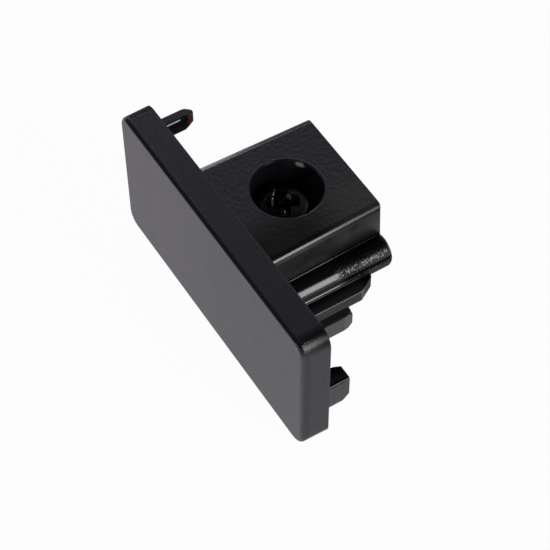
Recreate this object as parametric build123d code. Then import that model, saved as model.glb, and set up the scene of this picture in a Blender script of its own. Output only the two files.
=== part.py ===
"""End cap for a single-circuit lighting track, moulded in one piece, with its clamp screw.

Millimetres. X runs along the cover plate, Y runs from the plate into the profile, Z is up.
The XZ plane is the plate's inner face, which seats on the end of the profile. Z = 0 is the
plate's lower edge, and X = 0 is the middle of the plate.
"""
from build123d import *
import math
import os

# Cover plate, as large as the end of the profile
PLATE_WIDTH = 35.0
PLATE_HEIGHT = 17.5
PLATE_THICKNESS = 3.15
PLATE_CORNER_RADIUS = 1.8
PLATE_FRONT_RADIUS = 0.45
PLATE_DRAFT_ANGLE = 1.2

# Block that enters the channel of the profile, narrower at its top and at its back
BLOCK_FRONT_WIDTH = 14.2
BLOCK_BACK_WIDTH = 13.5
BLOCK_DEPTH = 12.85
BLOCK_BELOW_PLATE_TOP = 0.3
BLOCK_DRAFT_ANGLE = 3.3
BLOCK_TOP_RADIUS = 0.8
BLOCK_CORNER_RADIUS = 0.3

# Neck under the block, which stands on the floor of the channel
NECK_WIDTH = 9.2
NECK_CORNER_RADIUS = 0.5
FOOT_HEIGHT = 1.5

# Round-nosed rib along each side of the block
RIB_RADIUS = 1.87
RIB_CENTRE_X = 7.5
RIB_CENTRE_Z = 11.2
RIB_DEPTH = 12.92
RIB_END_RADIUS = 0.6
RIB_ROOT_RADIUS = 0.12

# Flat fin on the outside of each rib, with a slanted tip
FIN_REACH = 11.0
FIN_TOP = 11.3
FIN_THICKNESS = 1.6
FIN_DEPTH = 9.85
FIN_TIP_SETBACK = 1.08
FIN_TIP_LENGTH = 1.9
FIN_TIP_RADIUS = 0.4
FIN_EDGE_RADIUS = 0.12

# Four prongs that enter the corners of the profile
PRONG_OUTER_X = 15.47
PRONG_DEPTH = 3.85
UPPER_PRONG_WIDTH = 1.0
UPPER_PRONG_BOTTOM = 13.9
UPPER_PRONG_HEIGHT = 2.1
UPPER_PRONG_EDGE_RADIUS = 0.15
UPPER_PRONG_RISE_LENGTH = 0.45
UPPER_PRONG_OUTER_RISE = 0.33
UPPER_PRONG_INNER_RISE = 0.73
UPPER_PRONG_OUTER_LENGTH = 1.0
UPPER_PRONG_OUTER_SETBACK = 0.15
UPPER_PRONG_INNER_LENGTH = 0.63
UPPER_PRONG_INNER_SETBACK = 0.11
UPPER_PRONG_CORNER_LENGTH = 0.5
UPPER_PRONG_CORNER_SETBACK = 0.64
UPPER_PRONG_CORNER_DROP = 0.33
LOWER_PRONG_WIDTH = 2.0
LOWER_PRONG_BOTTOM = 1.4
LOWER_PRONG_HEIGHT = 3.5
LOWER_PRONG_EDGE_RADIUS = 0.32
LOWER_PRONG_TIP_LENGTH = 0.8
LOWER_PRONG_TIP_RISE = 0.8
LOWER_PRONG_TIP_SETBACK = 0.36
LOWER_PRONG_END_RADIUS = 0.1

# Well for the screw's head and the clearance bore under it
WELL_DIAMETER = 7.3
WELL_DEPTH = 3.9
WELL_Y = 6.1
WELL_RIM_RADIUS = 0.12
BORE_DIAMETER = 4.0

# Pan-head clamp screw with a cross recess, which leans to one side of its clearance bore
SCREW_DIAMETER = 3.0
SCREW_LENGTH = 11.5
SCREW_POINT_LENGTH = 0.5
HEAD_DIAMETER = 5.4
HEAD_HEIGHT = 2.0
HEAD_RIM_HEIGHT = 1.7
RECESS_SPAN = 3.4
RECESS_WING_WIDTH = 1.3
RECESS_WING_DEPTH = 1.1
RECESS_WING_TAPER = 18.0
RECESS_CORE_DIAMETER = 2.2
RECESS_CORE_DEPTH = 1.5
RECESS_CORE_TAPER = 25.0
RECESS_ANGLE = -24.0
SCREW_SIDE_GAP = 0.03
SCREW_LEAN_ANGLE = -105.0

# Places of the inner and the outer corner in a right-hand section's corners, sorted along X
INNER = 0
OUTER = -1

block_top = PLATE_HEIGHT - BLOCK_BELOW_PLATE_TOP
block_bottom = FIN_TOP - FIN_THICKNESS
block_flare = (block_top - block_bottom) * math.tan(math.radians(BLOCK_DRAFT_ANGLE))
well_floor = block_top - WELL_DEPTH


def into_profile(section, depth):
    """Carries a front-view section from the plate's inner face into the profile."""
    return extrude(Plane.XZ * section, -depth)


def both_sides(right):
    """Joins a right-hand feature to its mirror image on the left."""
    return right + mirror(right, about=Plane.YZ)


def cut_beyond(solid, through, second, third):
    """Cuts away the side of the plane through three points that lies further into the profile."""
    normal = (Vector(*second) - Vector(*through)).cross(Vector(*third) - Vector(*through))
    if normal.Y < 0:
        normal = -normal
    return split(solid, bisect_by=Plane(origin=through, z_dir=normal), keep=Keep.BOTTOM)


def make_plate():
    outline = RectangleRounded(PLATE_WIDTH, PLATE_HEIGHT, PLATE_CORNER_RADIUS)
    section = Pos(0, PLATE_HEIGHT / 2) * outline
    plate = extrude(Plane.XZ * section, PLATE_THICKNESS, taper=PLATE_DRAFT_ANGLE)
    front = plate.faces().sort_by(Axis.Y)[0]
    return fillet(front.edges(), PLATE_FRONT_RADIUS)


def block_width(depth):
    """Width of the block at its top, which narrows evenly from the plate to the back."""
    return BLOCK_FRONT_WIDTH + (BLOCK_BACK_WIDTH - BLOCK_FRONT_WIDTH) * depth / BLOCK_DEPTH


def narrowing(section_for, depth):
    """Carries a section into the profile while the block's width in it narrows."""
    front = Plane.XZ * section_for(block_width(0))
    back = Pos(0, depth, 0) * (Plane.XZ * section_for(block_width(depth)))
    return loft([front, back], ruled=True)


def block_section(top_width):
    """The block from the front: a trapezium that widens downwards by its draft."""
    top_half = top_width / 2
    bottom_half = top_half + block_flare
    outline = Polyline(
        (-bottom_half, block_bottom),
        (bottom_half, block_bottom),
        (top_half, block_top),
        (-top_half, block_top),
        close=True,
    )
    return make_face(outline)


def drafted_block():
    """The block with flat faces, as wide as its front section and cut narrower towards its back."""
    block = into_profile(block_section(BLOCK_FRONT_WIDTH), BLOCK_DEPTH)
    front_half = BLOCK_FRONT_WIDTH / 2
    back_half = BLOCK_BACK_WIDTH / 2
    for side in (-1, 1):
        block = cut_beyond(
            block,
            (side * front_half, 0, block_top),
            (side * back_half, BLOCK_DEPTH, block_top),
            (side * (front_half + block_flare), 0, block_bottom),
        )
    return block


def make_block():
    """The block is what its shape with rounded back corners shares with its shape with a rounded top."""
    block = drafted_block()
    back_face = block.faces().sort_by(Axis.Y)[-1]
    upright_edges = back_face.edges().sort_by(Axis.X)
    rounded_behind = fillet([upright_edges[0], upright_edges[-1]], BLOCK_CORNER_RADIUS)
    top_face = block.faces().sort_by(Axis.Z)[-1]
    side_edges = top_face.edges().sort_by(Axis.X)
    rounded_above = fillet([side_edges[0], side_edges[-1]], BLOCK_TOP_RADIUS)
    return rounded_behind & rounded_above


def make_neck():
    height = RIB_CENTRE_Z - FOOT_HEIGHT
    neck = into_profile(Pos(0, FOOT_HEIGHT + height / 2) * Rectangle(NECK_WIDTH, height), BLOCK_DEPTH)
    back_face = neck.faces().sort_by(Axis.Y)[-1]
    return fillet(back_face.edges().filter_by(Axis.Z), NECK_CORNER_RADIUS)


def rib_round():
    """The rib's full round from the front, drawn from the point that lies inside the block."""
    return Pos(RIB_CENTRE_X, RIB_CENTRE_Z) * Rot(0, 0, 180) * Circle(RIB_RADIUS)


def rib_section():
    """The rib from the front: the round, cut off flat at the level of the block's underside."""
    clip_size = 2 * RIB_RADIUS
    clip = Pos(RIB_CENTRE_X, block_bottom + clip_size / 2) * Rectangle(clip_size, clip_size)
    return rib_round() & clip


def round_roots(section):
    """Rounds the inside corners of a section between the side of the block and the rib's nose."""
    lowest = block_bottom + RIB_ROOT_RADIUS
    highest = block_top - BLOCK_TOP_RADIUS
    beside_block = section.vertices().filter_by_position(Axis.X, BLOCK_BACK_WIDTH / 2, RIB_CENTRE_X + RIB_RADIUS)
    return fillet(beside_block.filter_by_position(Axis.Y, lowest, highest), RIB_ROOT_RADIUS)


def joined_section(top_width):
    """The rib and the block beside it from the front, as one shape with its inside corner rounded."""
    reach = RIB_CENTRE_X + RIB_RADIUS
    height = RIB_CENTRE_Z + RIB_RADIUS + RIB_ROOT_RADIUS - block_bottom
    beside_rib = Pos(reach / 2, block_bottom + height / 2) * Rectangle(reach, height)
    return round_roots(block_section(top_width) + rib_section()) & beside_rib


def make_rib():
    """The rib with a rounded end, and the rounded corner where it meets the side of the block."""
    bar = into_profile(rib_round(), RIB_DEPTH)
    end = bar.faces().sort_by(Axis.Y)[-1]
    bar = fillet(end.edges(), RIB_END_RADIUS)
    bar = split(bar, bisect_by=Plane.XY.offset(block_bottom), keep=Keep.TOP)
    return bar + narrowing(joined_section, RIB_DEPTH - RIB_END_RADIUS)


def make_fin():
    width = FIN_REACH - RIB_CENTRE_X
    outline = Rectangle(width, FIN_THICKNESS)
    outer_corners = outline.vertices().sort_by(Axis.X)[-2:]
    flat = Pos(RIB_CENTRE_X + width / 2, FIN_TOP - FIN_THICKNESS / 2) * fillet(outer_corners, FIN_EDGE_RADIUS)
    fin = into_profile(round_roots(rib_section() + flat), FIN_DEPTH)
    tip_start = FIN_DEPTH - FIN_TIP_LENGTH
    fin = cut_beyond(
        fin,
        (FIN_REACH, tip_start, FIN_TOP),
        (FIN_REACH - FIN_TIP_SETBACK, FIN_DEPTH, FIN_TOP),
        (FIN_REACH, tip_start, block_bottom),
    )
    end = fin.faces().sort_by(Axis.Y)[-1]
    return fillet(end.edges().sort_by(Axis.X)[-1], FIN_TIP_RADIUS)


def prong_bar(width, bottom, height, rounded_side, edge_radius):
    """A straight prong, rounded along its upper edge on the inner or the outer side."""
    outline = Rectangle(width, height)
    rounded = outline.vertices().group_by(Axis.Y)[-1].sort_by(Axis.X)[rounded_side]
    section = Pos(PRONG_OUTER_X - width / 2, bottom + height / 2) * fillet(rounded, edge_radius)
    return into_profile(section, PRONG_DEPTH)


def make_upper_prong():
    """The prong's tip is cut below on a slope that rises inwards, on both sides, and at its upper outer corner."""
    bottom = UPPER_PRONG_BOTTOM
    top = bottom + UPPER_PRONG_HEIGHT
    inner_x = PRONG_OUTER_X - UPPER_PRONG_WIDTH
    set_back_x = PRONG_OUTER_X - UPPER_PRONG_OUTER_SETBACK
    prong = prong_bar(UPPER_PRONG_WIDTH, bottom, UPPER_PRONG_HEIGHT, INNER, UPPER_PRONG_EDGE_RADIUS)
    prong = cut_beyond(
        prong,
        (PRONG_OUTER_X, PRONG_DEPTH - UPPER_PRONG_RISE_LENGTH, bottom),
        (PRONG_OUTER_X, PRONG_DEPTH, bottom + UPPER_PRONG_OUTER_RISE),
        (inner_x, PRONG_DEPTH, bottom + UPPER_PRONG_INNER_RISE),
    )
    prong = cut_beyond(
        prong,
        (PRONG_OUTER_X, PRONG_DEPTH - UPPER_PRONG_OUTER_LENGTH, bottom),
        (set_back_x, PRONG_DEPTH, bottom),
        (PRONG_OUTER_X, PRONG_DEPTH - UPPER_PRONG_OUTER_LENGTH, top),
    )
    prong = cut_beyond(
        prong,
        (inner_x, PRONG_DEPTH - UPPER_PRONG_INNER_LENGTH, bottom),
        (inner_x + UPPER_PRONG_INNER_SETBACK, PRONG_DEPTH, bottom),
        (inner_x, PRONG_DEPTH - UPPER_PRONG_INNER_LENGTH, top),
    )
    return cut_beyond(
        prong,
        (set_back_x, PRONG_DEPTH - UPPER_PRONG_CORNER_LENGTH, top),
        (PRONG_OUTER_X - UPPER_PRONG_CORNER_SETBACK, PRONG_DEPTH, top),
        (set_back_x, PRONG_DEPTH, top - UPPER_PRONG_CORNER_DROP),
    )


def make_lower_prong():
    """The prong's tip is cut below on a rising slope and on the inside, and its end is rounded above."""
    inner_x = PRONG_OUTER_X - LOWER_PRONG_WIDTH
    top = LOWER_PRONG_BOTTOM + LOWER_PRONG_HEIGHT
    start = PRONG_DEPTH - LOWER_PRONG_TIP_LENGTH
    prong = prong_bar(LOWER_PRONG_WIDTH, LOWER_PRONG_BOTTOM, LOWER_PRONG_HEIGHT, OUTER, LOWER_PRONG_EDGE_RADIUS)
    prong = cut_beyond(
        prong,
        (PRONG_OUTER_X, start, LOWER_PRONG_BOTTOM),
        (PRONG_OUTER_X, PRONG_DEPTH, LOWER_PRONG_BOTTOM + LOWER_PRONG_TIP_RISE),
        (inner_x, start, LOWER_PRONG_BOTTOM),
    )
    prong = cut_beyond(
        prong,
        (inner_x, start, top),
        (inner_x + LOWER_PRONG_TIP_SETBACK, PRONG_DEPTH, top),
        (inner_x, start, LOWER_PRONG_BOTTOM),
    )
    end = prong.faces().sort_by(Axis.Y)[-1]
    return fillet(end.edges().sort_by(Axis.Z)[-1], LOWER_PRONG_END_RADIUS)


def make_screw_hole():
    """The well for the head, open at the block's top, and the bore from its floor through the foot."""
    well = Pos(0, WELL_Y, well_floor) * extrude(Circle(WELL_DIAMETER / 2), PLATE_HEIGHT - well_floor)
    bore = Pos(0, WELL_Y) * extrude(Circle(BORE_DIAMETER / 2), block_top)
    return well + bore


def make_cap_body():
    body = make_plate() + make_block() + make_neck()
    for make_feature in (make_rib, make_fin, make_upper_prong, make_lower_prong):
        body = body + both_sides(make_feature())
    body = body - make_screw_hole()
    widest_circles = body.edges().filter_by(GeomType.CIRCLE).group_by(SortBy.RADIUS)[-1]
    return fillet(widest_circles.sort_by(Axis.Z)[-1], WELL_RIM_RADIUS)


def make_recess():
    """The cross recess: tapered wings around a deeper conical core, cut down from the top of the head."""
    wing = Rectangle(RECESS_SPAN, RECESS_WING_WIDTH)
    wings = extrude(wing, -RECESS_WING_DEPTH, taper=RECESS_WING_TAPER)
    cross = wings + Rot(0, 0, 90) * wings
    core = extrude(Circle(RECESS_CORE_DIAMETER / 2), -RECESS_CORE_DEPTH, taper=RECESS_CORE_TAPER)
    return Rot(0, 0, RECESS_ANGLE) * (cross + core)


def make_clamp_screw():
    """The screw is turned from half its outline, with the underside of its head at height zero."""
    shank_radius = SCREW_DIAMETER / 2
    head_radius = HEAD_DIAMETER / 2
    straight_sides = Polyline(
        (0, HEAD_HEIGHT),
        (0, -SCREW_LENGTH),
        (shank_radius - SCREW_POINT_LENGTH, -SCREW_LENGTH),
        (shank_radius, SCREW_POINT_LENGTH - SCREW_LENGTH),
        (shank_radius, 0),
        (head_radius, 0),
        (head_radius, HEAD_RIM_HEIGHT),
    )
    dome = EllipticalCenterArc(
        (0, HEAD_RIM_HEIGHT), head_radius, HEAD_HEIGHT - HEAD_RIM_HEIGHT, start_angle=0, arc_size=90
    )
    screw = revolve(Plane.XZ * make_face(straight_sides + dome), Axis.Z)
    screw = screw - Pos(0, 0, HEAD_HEIGHT) * make_recess()
    lean = (BORE_DIAMETER - SCREW_DIAMETER) / 2 - SCREW_SIDE_GAP
    lean_x = lean * math.cos(math.radians(SCREW_LEAN_ANGLE))
    lean_y = lean * math.sin(math.radians(SCREW_LEAN_ANGLE))
    return Pos(lean_x, WELL_Y + lean_y, well_floor) * screw


os.makedirs("parts", exist_ok=True)
export_step(make_cap_body(), "parts/cap_body.step")
export_step(make_clamp_screw(), "parts/clamp_screw.step")
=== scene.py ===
"""Looks of the track end cap: the finish of its moulded body, its clamp screw, and the studio.

Metres. X runs along the cover plate, Y from the plate into the profile, Z is up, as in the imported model.
"""
import math

import bpy
import numpy as np
from bpy.props import FloatProperty, FloatVectorProperty, IntProperty, PointerProperty
from mathutils import Matrix, Vector


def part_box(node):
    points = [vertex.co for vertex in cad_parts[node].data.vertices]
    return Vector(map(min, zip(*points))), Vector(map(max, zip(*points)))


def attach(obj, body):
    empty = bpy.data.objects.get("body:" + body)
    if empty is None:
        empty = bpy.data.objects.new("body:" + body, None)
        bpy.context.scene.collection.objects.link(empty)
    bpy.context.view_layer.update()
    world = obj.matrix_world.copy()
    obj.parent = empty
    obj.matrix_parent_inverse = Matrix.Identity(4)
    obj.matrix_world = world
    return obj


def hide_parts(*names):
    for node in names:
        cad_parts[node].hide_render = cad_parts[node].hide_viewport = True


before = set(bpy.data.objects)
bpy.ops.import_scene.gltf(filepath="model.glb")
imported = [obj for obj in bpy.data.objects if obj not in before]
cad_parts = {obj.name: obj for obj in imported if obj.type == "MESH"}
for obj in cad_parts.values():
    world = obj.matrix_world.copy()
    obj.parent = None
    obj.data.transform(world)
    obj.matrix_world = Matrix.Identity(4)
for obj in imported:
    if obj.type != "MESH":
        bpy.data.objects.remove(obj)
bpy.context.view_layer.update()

bl_info = {
    "name": "Track End Cap",
    "version": (1, 0, 0),
    "blender": (4, 5, 0),
    "location": "3D View > Sidebar > End Cap",
    "description": "Dresses the packed end cap of a lighting track and sets up its studio",
    "category": "Object",
}

MM = 0.001
screw_low, screw_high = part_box("clamp_screw")
body_low, body_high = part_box("cap_body")

# Places on the body in millimetres, as the part is modelled
WELL_Y = 6.1
WELL_RADIUS = 3.65
RIB_X = 7.5
RIB_Z = 11.2
RIB_RADIUS = 1.87
FIN_TOP = 11.3

# Edges of the body's zones in millimetres. Two numbers are the level of an edge and its softness, and three
# are the levels of two edges and their softness. ASIDE is the distance from the middle plane, WALL and RING
# that from the axis of the well or the rib, and the left fillet's START and END are distances past the
# block's upper left edge.
INNER_FACE_Y = (0.0, 0.05)
FRONT_Y = (-2.75, 0.2)
UPPER_EDGE_X = (-16.5, 0.3)
UPPER_EDGE_Y = (-2.8, 0.15)
UPPER_EDGE_Z = (17.1, 0.12)
UPPER_EDGE_END_X = (16.1, 0.25)
INNER_EDGE_Y = (-0.14, 0.03, 0.04)
INNER_EDGE_Z = (17.25, 0.04)
LEFT_CORNER_X = (-15.8, 0.4)
LEFT_CORNER_Y = (-2.75, 0.25)
LEFT_CORNER_Z = (16.3, 0.4)
LEFT_CORNER_TIP_X = (-16.75, 0.15)
RIGHT_CORNER_X = (16.3, 0.4)
RIGHT_CORNER_Z = (16.2, 0.4)
RIGHT_END_X = (17.35, 0.1)
RIGHT_END_Z = (16.0, 0.6)
RIGHT_END_FRONT_Y = (-2.3, 0.4)
WELL_WALL = (WELL_RADIUS + 0.15, 0.05)
WELL_FLOOR_Z = (12.0, 0.1)
WELL_LIP_X = (0.5, 0.5)
WELL_LIP_Z = (16.9, 0.05)
# Ring round the well on the block's top that carries the painted highlight on the well's rim
WELL_RIM_HIGHLIGHT_RING = (WELL_RADIUS - 0.05, WELL_RADIUS + 0.30, 0.06)
BLOCK_ASIDE = (9.2, 0.3)
BLOCK_Z = (13.3, 0.2)
CROWN_Z = (16.85, 0.15)
BLOCK_FILLET_ASIDE = (6.2, 0.1)
BLOCK_FILLET_Z = (16.45, 17.16, 0.06)
RIGHT_SIDE_X = (0.0, 0.1)
LEFT_FILLET_START = (0.08, 0.06)
LEFT_FILLET_END = (0.47, 0.05)
LEFT_FILLET_Z = (16.45, 0.06)
RIB_AND_FIN_ASIDE = (6.5, 12.0, 0.2)
RIB_WALL = (RIB_RADIUS + 0.05, 0.02)
RIB_TOP_Z = (12.72, 0.10)
RIB_CREST_Z = (12.85, 0.10)
RIB_BAND_Z = (11.72, 12.0, 0.08)
RIB_FLANK_Z = (11.9, 0.2)
ROOT_ASIDE = (RIB_X, 0.2)
FAR_END_Y = (8.0, 0.8)
FIN_END_Y = (8.4, 0.5)
FIN_EDGE_ASIDE = (10.84, 0.04)
FIN_EDGE_Z = (11.1, 11.4, 0.04)
PRONG_ASIDE = (13.0, 0.2)
UPPER_PRONG_Z = (12.0, 0.2)
UPPER_PRONG_TOP_X = (-13.0, 0.2)
UPPER_PRONG_TOP_Z = (15.85, 0.05)
LEFT_PRONG_X = (0.0, 0.1)
LEFT_PRONG_Z = (15.75, 0.08)
RIGHT_PRONG_X = (0.0, 15.3, 0.05)
RIGHT_PRONG_Z = (15.3, 0.1)
FACET_ASIDE = (14.2, 14.60, 0.01)
LOWER_PRONG_Z = (4.6, 0.1)
LOWER_PRONG_TOP_Z = (4.75, 7.0, 0.08)
# Places of the dark red tint on the prongs' ends
UPPER_RED_TINT_X = (-15.2, -13.5, 0.2)
UPPER_RED_TINT_Z = (15.85, 0.2)
LOWER_RED_TINT_X = (14.9, 0.25)
LOWER_RED_TINT_Y = (3.45, 0.2)
LOWER_RED_TINT_Z = (4.3, 4.85, 0.1)

# Fades over the body in millimetres, each from its first place, where it is 0, to its second, where it is 1
# Fade of the painted light towards the front's left end
FRONT_LEFT_X_FADE = (8.0, -12.0)
RIGHT_CORNER_Y_FADE = (-3.3, 0.0)
# Painted shade: the block's top takes the darker inner colour towards the right over this fade
CROWN_LEFT_X_FADE = (4.0, 0.0)
# Fades of the painted light on the block's top behind the well on the right
CROWN_RIGHT_X_FADE = (0.0, 4.0)
CROWN_REAR_Y_FADE = (5.0, 10.0)
CROWN_VEIL_X_FADE = (0.5, 5.0)
CROWN_VEIL_Y_FADE = (12.5, 4.0)
SIDE_UPPER_Z_FADE = (14.2, 16.2)
RIGHT_FILLET_Y_FADE = (2.0, 12.0)
LEFT_FILLET_Y_FADE = (0.5, 8.0)
FACET_Y_FADE = (2.1, 3.3)
ROOT_Z_FADE = (FIN_TOP - 0.1, FIN_TOP)
UPPER_RED_TINT_Y_FADE = (2.8, 3.6)
# Fades in a direction, which is given as the shares of X and Y that are added up
# Direction and fade of the painted light on the well's shaded far wall
FAR_WALL_DIRECTION = (-0.3, 1.0)
FAR_WALL_FADE = (8.2, 9.8)
# Direction and fade of the painted highlight on the well's rim
WELL_RIM_HIGHLIGHT_DIRECTION = (-0.8, 0.6)
WELL_RIM_HIGHLIGHT_FADE = (3.6, 6.4)
# Direction and fade of the painted sheen on one side of the screw head
SHEEN_DIRECTION = (0.61, 0.79)
SHEEN_FADE = (5.2, 6.2)
# Direction and fade of the painted highlight on the rim of the screw head
SCREW_RIM_HIGHLIGHT_DIRECTION = (0.8, 0.3)
SCREW_RIM_HIGHLIGHT_FADE = (2.2, 3.2)

# The block's upper left edge in millimetres: its X by the plate, and how far it moves in for each Y
LEFT_EDGE_X = -6.3
LEFT_EDGE_TAPER = 0.027
# The fillet between rib and fin: its reach in millimetres, and its height at a reach of 1
ROOT_FILLET_REACH = 0.42
ROOT_FILLET_HEIGHT = 1.3
# The slope on the upper prongs' inner edges: where it starts in Z by the plate, how much higher that is at
# the prong's end, both in millimetres, its steepness, and the depth over which it leaves the veil
FACET_Z = 15.63
FACET_RISE = 0.26
FACET_SLOPE = 0.9
FACET_DEPTH_FADE = (0.02, 0.0)
# The painted highlight high on the well's wall, a pale patch in place of a glint, in millimetres: its
# middle, the square of its radius, the weight of the square of the way up or down, and the raggedness of
# its outline
WELL_HIGHLIGHT_MIDDLE = (-2.30, 9.2, 16.74)
WELL_HIGHLIGHT_SIZE = 0.50
WELL_HIGHLIGHT_FLATNESS = 2.2
WELL_HIGHLIGHT_RAGGEDNESS = 0.5
# How far the coarse noise moves the start of the ribs' and fins' grained ends, in millimetres, and how much
# of the grain is missing on the rib's crest
FAR_END_RAGGEDNESS = 2.0
SMOOTH_CREST = 0.8

# Noise as features to the millimetre, detail and roughness
FINE_NOISE = (5.0, 4.0, 0.65)
LEATHER_NOISE = (2.4, 3.0, 0.55)
COARSE_NOISE = (4.6, 3.0, 0.6)
PATCHY_NOISE = (0.5, 1.0, 0.5)
CLOUD_NOISE = (0.35, 2.0, 0.5)
SCREW_NOISE = (9.0, 4.0, 0.65)
BLOTCH_NOISE = (2.0, 2.0, 0.5)
# Levels of the noise between which spots fade in
FINE_SPOTS = (0.35, 0.60)
COARSE_SPOTS = (0.42, 0.58)
PATCHY_SPOTS = (0.45, 0.7)
CLOUD_SPOTS = (0.3, 0.8)
DARK_SPOTS = (0.35, 0.75)
# Spots of the painted sheen on the screw head
SHEEN_SPOTS = (0.38, 0.58)
CROSS_EDGE_SPOTS = (0.30, 0.50)
RIM_SPOTS = (0.35, 0.55)

# Share of each coat of colour that doesn't cover its zone wholly
COAT = {
    "cloud": 0.25,
    "well": 0.8,
    # Painted light on the well's shaded far wall
    "far wall": 0.8,
    # The painted highlight on the well's rim
    "well_rim_highlight": 0.8,
    # The dark red tint on the lower prong's end
    "lower red tint": 0.5,
    "dark grains": 0.5,
    # The painted sheen on one side of the screw head
    "head sheen": 0.8,
}
# Share of the grained faces' roughness that a zone loses, and how much two kinds of noise change it
SMOOTHED_CORNER = 0.7
SMOOTHED_FILLET = 0.8
SMOOTHED_LEFT_FILLET = 0.4
SPECKLE_GLOSS = 0.06
FINE_ROUGHNESS = 0.08

# Plastic under the two kinds of gloss, of which the veiled one mirrors next to nothing
CLEAR_IOR = 1.5
VEILED_IOR = 1.07
VEILED_ROUGHNESS = 0.5
# Share of the veiled gloss on each zone of the body
VEIL = {
    "upper edge": 0.75,
    "left corner": 0.95,
    "left corner's tip": -0.13,
    "right corner": 0.7,
    "right end": 0.30,
    "right end by the front": 0.15,
    "well": 0.7,
    "well's lip": 0.25,
    "crown": 0.55,
    "side": 0.15,
    "side's patches": 0.25,
    "side's upper part": 0.3,
    "right fillet": 0.6,
    "left fillet": 0.10,
    "left fillet's rear": 0.68,
    "rib's top": 0.75,
    "rib's band": 0.6,
    "rib's flank": 0.7,
    "fin": 0.52,
    "fin's end": 0.35,
    "upper left prong": 0.85,
    "upper right prong": 0.6,
    "lower prong": 0.2,
    "lower prong's top": 0.6,
}

# Angles of the cross recess's walls from the screw's axis
SLOT_WALL_ANGLE = math.radians(18.0)
CORE_WALL_ANGLE = math.radians(25.0)
# Rounding under the head, and the blunt end of the shank: its length and how far it goes below the thread
HEAD_CORNER = 0.15 * MM
TIP_LENGTH = 0.5 * MM
TIP_INSET = 0.2 * MM
# Thread depth as a share of the pitch, and the flat shares of its root and crest
THREAD_DEPTH = 0.6134
ROOT_FLAT = 0.25
CREST_FLAT = 0.125
# Where the rings on the head's top start, and the share of its radius up to which they are evenly spaced
POLE_RADIUS = 0.02 * MM
EVEN_SHARE = 0.78
# Rings on that part, on the rest of the top, down the head's side, in a rounded corner and in a thread turn
EVEN_RINGS = 100
OUTER_RINGS = 18
SIDE_RINGS = 7
CORNER_RINGS = 7
TURN_RINGS = 8
# Edges of the screw, worn and painted lighter as a highlight along the cross, and the rim's painted
# highlight: how far the surface lies below the dome in millimetres, and how far out it and the rim lie as
# shares of the head's radius
CROSS_EDGE_DEPTH = (0.06, 0.40, 0.05)
CROSS_EDGE_OUT = (0.75, 0.05)
RIM_OUT = (0.90, 1.03, 0.03)
# How much the blotches move the edge of the head's painted sheen, and the height of the screw's grain, in
# millimetres
SHEEN_RAGGEDNESS = 1.2
SCREW_GRAIN = 0.006
# Roughness of the screw: everywhere, more with the grain, and more on the painted glints
SCREW_ROUGHNESS = 0.10
SCREW_GRAIN_ROUGHNESS = 0.20
GLINT_ROUGHNESS = 0.15
# Squared distances, as shares of a painted glint's half length and half width, at which it is gone and
# whole
GLINT_FADE = (1.2, 0.4)
# Painted glints, spots of near-white metal on the edges of the cross: X and Y in millimetres, direction of
# the length in degrees, half length and half width in millimetres, and strength
CROSS_GLINTS = (
    (-0.60, 6.54, 20.0, 0.55, 0.12, 1.0),
    (-0.93, 5.00, 138.0, 0.20, 0.15, 1.0),
    (-1.45, 5.46, 138.0, 0.36, 0.06, 0.8),
    (0.78, 6.42, 79.0, 0.60, 0.06, 0.6),
    (0.98, 5.74, 172.0, 0.32, 0.06, 0.5),
    (0.30, 5.75, 160.0, 0.42, 0.06, 0.5),
    (-0.25, 4.30, 75.0, 0.50, 0.06, 0.5),
)

# Half the width of the table, the camera's sensor in millimetres, and its clipping
TABLE_REACH = 1.5
SENSOR_WIDTH = 36.0
CLIP_START = 1.0 * MM
CLIP_END = 10.0
# Lamps: name, direction from the body's middle, distance, width and height in metres, and brightness
LAMPS = (
    ("side_softbox", (0.85, 0.29, 0.42), 0.50, 0.18, 0.26, 8.5),
    ("left_strip", (-0.92, 0.28, 0.22), 0.50, 0.10, 0.22, 4.0),
    ("head_light", (-0.50, -0.54, 0.67), 0.50, 0.08, 0.08, 9.0),
)
# Fades of the surroundings: from the horizon up in front and behind, to the back, and to the left
FRONT_SKY_FADE = (0.02, 0.15)
BACK_SKY_FADE = (0.05, 0.45)
TO_THE_BACK_FADE = (-0.3, 0.2)
LEFT_DIRECTION = (-1.0, 0.8)
TO_THE_LEFT_FADE = (0.50, 0.85)


# Shader maths

class Field:
    """A socket that can be reckoned with: each operation adds the Math node that works it out."""

    def __init__(self, tree, socket):
        self.tree = tree
        self.socket = socket

    def math(self, operation, *others):
        values = dict(enumerate((self, *others)))
        return self.tree.field("ShaderNodeMath", 0, {"operation": operation}, values)

    def __add__(self, other):
        return self.math("ADD", other)

    __radd__ = __add__

    def __sub__(self, other):
        return self.math("SUBTRACT", other)

    def __rsub__(self, other):
        return self.tree.field("ShaderNodeMath", 0, {"operation": "SUBTRACT"}, {0: other, 1: self})

    def __mul__(self, other):
        return self.math("MULTIPLY", other)

    __rmul__ = __mul__

    def squared(self):
        return self * self

    def at_least(self, lowest):
        return self.math("MAXIMUM", lowest)

    def above(self, level, softness):
        """1 where this is above the level and 0 below it, in a smooth step of softness to each side."""
        return self.ramp(level - softness, level + softness)

    def below(self, level, softness):
        """1 where this is below the level and 0 above it."""
        return 1.0 - self.above(level, softness)

    def between(self, low, high, softness):
        """1 where this is between the two levels and 0 elsewhere."""
        return self.above(low, softness) * self.below(high, softness)

    def ramp(self, start, end):
        """Goes smoothly from 0 where this is at start to 1 where it is at end."""
        settings = {"interpolation_type": "SMOOTHSTEP", "clamp": True}
        sockets = {"Value": self, "From Min": start, "From Max": end, "To Min": 0.0, "To Max": 1.0}
        return self.tree.field("ShaderNodeMapRange", 0, settings, sockets)


def distance(first, second):
    """The root of the sum of the squares of two fields."""
    return (first.squared() + second.squared()).math("SQRT")


def toward(x, y, direction):
    """How far a point lies in a direction: the sum of the direction's shares of X and Y."""
    share_x, share_y = direction
    return x * share_x + y * share_y


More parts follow.
